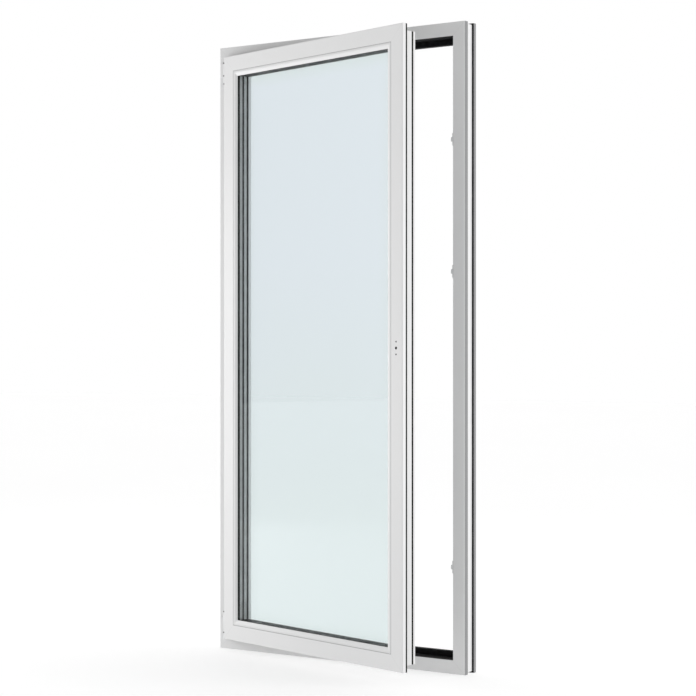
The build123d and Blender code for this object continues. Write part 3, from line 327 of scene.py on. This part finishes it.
def packer(name):
    """Blue polypropylene glazing packer with moulded ribs."""
    made = Material(name)
    ribs = made.node("ShaderNodeTexWave", wave_type="BANDS", bands_direction="Z")
    ribs.inputs["Scale"].default_value = 120.0
    made.join(made.place, ribs.inputs["Vector"])
    tone = made.noise(80.0, 3.0)
    made.join(made.blend(tone, (0.05, 0.13, 0.34), (0.08, 0.19, 0.44)), made.shader.inputs["Base Color"])
    made.roughen(tone, 0.38, 0.55, 0.0, 1.0)
    made.bump(ribs.outputs["Fac"], 0.0004, 0.6)
    return made.material


GLASS_IOR = 1.33
GLASS_BLUE = (0.912, 0.938, 0.953)
GLASS_GREEN = (0.904, 0.935, 0.937)
GLASS_EDGE_GREEN = (0.897, 0.929, 0.928)
GLASS_EDGE_BAND = (0.015, 0.07)


def glass(name):
    """Float glass: a faint tint, blue at the head and green at the sill and round the edges."""
    made = Material(name)
    parts = made.node("ShaderNodeSeparateXYZ")
    made.join(made.place, parts.inputs[0])
    up = made.spread(parts.outputs["Z"], 0.0, 1.0, FRAME_LOW.z, FRAME_HIGH.z)
    drift = made.maths("ADD", up, made.spread(made.noise(1.4, 2.0), -0.12, 0.12))
    tint = made.blend(made.spread(drift, 0.0, 1.0, 0.25, 0.65), GLASS_GREEN, GLASS_BLUE)
    half = (PANE_HIGH - PANE_LOW) / 2
    side, end, _ = made.inward((PANE_LOW + PANE_HIGH) / 2, half.x, half.z, AJAR)
    rim = made.spread(made.maths("MINIMUM", side, end), 1.0, 0.0, *GLASS_EDGE_BAND)
    made.join(made.blend(rim, tint, GLASS_EDGE_GREEN), made.shader.inputs["Base Color"])
    made.roughen(made.noise(3.0, 2.0), 0.0, 0.012, 0.0, 1.0)
    made.shader.inputs["Transmission Weight"].default_value = 1.0
    made.shader.inputs["IOR"].default_value = GLASS_IOR
    made.shader.inputs["Specular Tint"].default_value = (0.0, 0.0, 0.0, 1.0)
    return made.material


WHITE_FRAME = white_pvc("white_pvc_frame", FRAME_LOW, FRAME_HIGH, 0.0, grey_ribs=True)
WHITE_SASH = white_pvc("white_pvc_sash", SASH_LOW, SASH_HIGH, AJAR, bead_joint_and_chamber_shade=True)
BLACK_RUBBER = rubber("black_epdm", (0.006, 0.006, 0.0065), (0.018, 0.0185, 0.02))
SEALANT = rubber("black_sealant", (0.006, 0.006, 0.006), (0.014, 0.014, 0.014))
SATIN_STEEL = metal("satin_steel", (0.62, 0.63, 0.64), 0.22, 0.4, (1, 1, 0.08))
# Dark steel for the spindle hub and the upper hinge pin; the hub's dark colour is also painted shade, standing in
# for the shade in the handle hole
DARK_STEEL_AND_SHADE = metal("blackened_steel_and_shade", (0.03, 0.03, 0.032), 0.4, 0.55)
ZINC = metal("zinc_screw", (0.66, 0.66, 0.63), 0.2, 0.38, scale=500.0)
DIE_CAST = metal("zinc_die_cast", (0.5, 0.5, 0.5), 0.4, 0.6, scale=700.0)
GALVANISED = galvanised("galvanised_steel")
WHITE_PAINT = painted("white_powder_coat").material
HINGE_PAINT = hinge_paint("hinge_powder_coat")
GREY_SPACER = spacer("grey_spacer_bar")
PACKER = packer("packer_polypropylene")
GLASS = glass("float_glass")

BY_SLOT = {
    "white_pvc": WHITE_SASH,
    "black_rubber": BLACK_RUBBER,
    "clear_glass": GLASS,
    "galvanised_steel": GALVANISED,
    "zinc_screws": ZINC,
    "grey_spacer": GREY_SPACER,
    "packer_plastic": PACKER,
    "satin_steel": SATIN_STEEL,
    "white_painted_metal": WHITE_PAINT,
}
BY_NODE = {
    "gearbox_case": DIE_CAST,
    # Painted shade in part: the spindle hub's dark steel also stands in for the shade in the handle hole
    "spindle_hub": DARK_STEEL_AND_SHADE,
    "upper_hinge_pin": DARK_STEEL_AND_SHADE,
    "upper_sash_hinge": HINGE_PAINT,
    "lower_sash_hinge": HINGE_PAINT,
    "inner_edge_sealant": SEALANT,
    "outer_edge_sealant": SEALANT,
}
for entry in frame["record"]["subparts"]:
    name = entry["node"]
    chosen = BY_NODE.get(name, BY_SLOT[entry["material_slot"]])
    if chosen is WHITE_SASH and name.startswith("frame_"):
        chosen = WHITE_FRAME
    node = NODES[name]
    node.data.materials.clear()
    node.data.materials.append(chosen)

# Stage, light and camera ------------------------------------------------------------------

FLOOR_HALF = 30.0
FLOOR_GAP = 0.0005
FLOOR_GLOW = 0.625


def floor_mesh():
    """A pale floor just under the sill."""
    mesh = bpy.data.meshes.new("studio_floor")
    level = FRAME_LOW.z - FLOOR_GAP
    signs = ((-1, -1), (1, -1), (1, 1), (-1, 1))
    corners = [(x * FLOOR_HALF, y * FLOOR_HALF, level) for x, y in signs]
    mesh.from_pydata(corners, [], [(0, 1, 2, 3)])
    made = bpy.data.objects.new("studio_floor", mesh)
    bpy.context.scene.collection.objects.link(made)
    look = Material("studio_floor")
    tone = look.noise(0.6, 3.0)
    look.join(look.blend(tone, (0.44, 0.44, 0.44), (0.46, 0.46, 0.46)), look.shader.inputs["Base Color"])
    look.roughen(tone, 0.6, 0.8, 0.0, 1.0)
    look.shader.inputs["Specular IOR Level"].default_value = 0.1
    look.join(look.blend(tone, (1, 1, 1), (0.98, 0.98, 0.98)), look.shader.inputs["Emission Color"])
    look.shader.inputs["Emission Strength"].default_value = FLOOR_GLOW
    mesh.materials.append(look.material)


floor_mesh()

# White cove behind the window and a dimmer room in front of it, with a white backdrop
ROOM_BRIGHTNESS = 0.52
COVE_FADE = (-0.1, 0.2)
world = bpy.data.worlds.new("studio")
bpy.context.scene.world = world
world.use_nodes = True
cove = world.node_tree
direction = cove.nodes.new("ShaderNodeTexCoord")
split = cove.nodes.new("ShaderNodeSeparateXYZ")
ramp = cove.nodes.new("ShaderNodeMapRange")
ramp.inputs["From Min"].default_value = COVE_FADE[0]
ramp.inputs["From Max"].default_value = COVE_FADE[1]
ramp.inputs["To Min"].default_value = ROOM_BRIGHTNESS
ramp.inputs["To Max"].default_value = 1.0
cove.links.new(direction.outputs["Generated"], split.inputs[0])
cove.links.new(split.outputs["Y"], ramp.inputs["Value"])
seen = cove.nodes.new("ShaderNodeLightPath")
strength = cove.nodes.new("ShaderNodeMath")
strength.operation = "MAXIMUM"
cove.links.new(seen.outputs["Is Camera Ray"], strength.inputs[0])
cove.links.new(ramp.outputs[0], strength.inputs[1])
cove.links.new(strength.outputs[0], cove.nodes["Background"].inputs["Strength"])
cove.nodes["Background"].inputs["Color"].default_value = (1, 1, 1, 1)


def softbox(name, place, target, size, power):
    """A large rectangular light that faces the target."""
    lamp = bpy.data.lights.new(name, "AREA")
    lamp.shape = "RECTANGLE"
    lamp.size, lamp.size_y = size
    lamp.energy = power
    made = bpy.data.objects.new(name, lamp)
    made.location = place
    direction = Vector(target) - Vector(place)
    made.rotation_euler = direction.to_track_quat("-Z", "Y").to_euler()
    bpy.context.scene.collection.objects.link(made)


softbox("left_light", (-5.5, -1.0, 1.14), (0, 0, 1.14), (1.6, 2.4), 128)
softbox("right_light", (5.0, 2.2, 1.4), (0.5, 0, 1.14), (2.0, 3.0), 88)

# Camera at mid-height to the right of the window, looking level
CAMERA_YAW = math.radians(34.2)
CAMERA_BESIDE = 3.862
CAMERA_AHEAD = 5.611
CAMERA_LENS = 96.7
camera_data = bpy.data.cameras.new("camera")
camera_data.lens = CAMERA_LENS
camera_data.sensor_width = 36.0
camera_data.clip_end = 200.0
camera = bpy.data.objects.new("camera", camera_data)
camera.location = (CAMERA_BESIDE, FRAME_LOW.y - CAMERA_AHEAD, FRAME_CENTRE.z)
camera.rotation_euler = (math.radians(90), 0, CAMERA_YAW)
bpy.context.scene.collection.objects.link(camera)
bpy.context.scene.camera = camera
bpy.context.scene.view_settings.view_transform = "Standard"
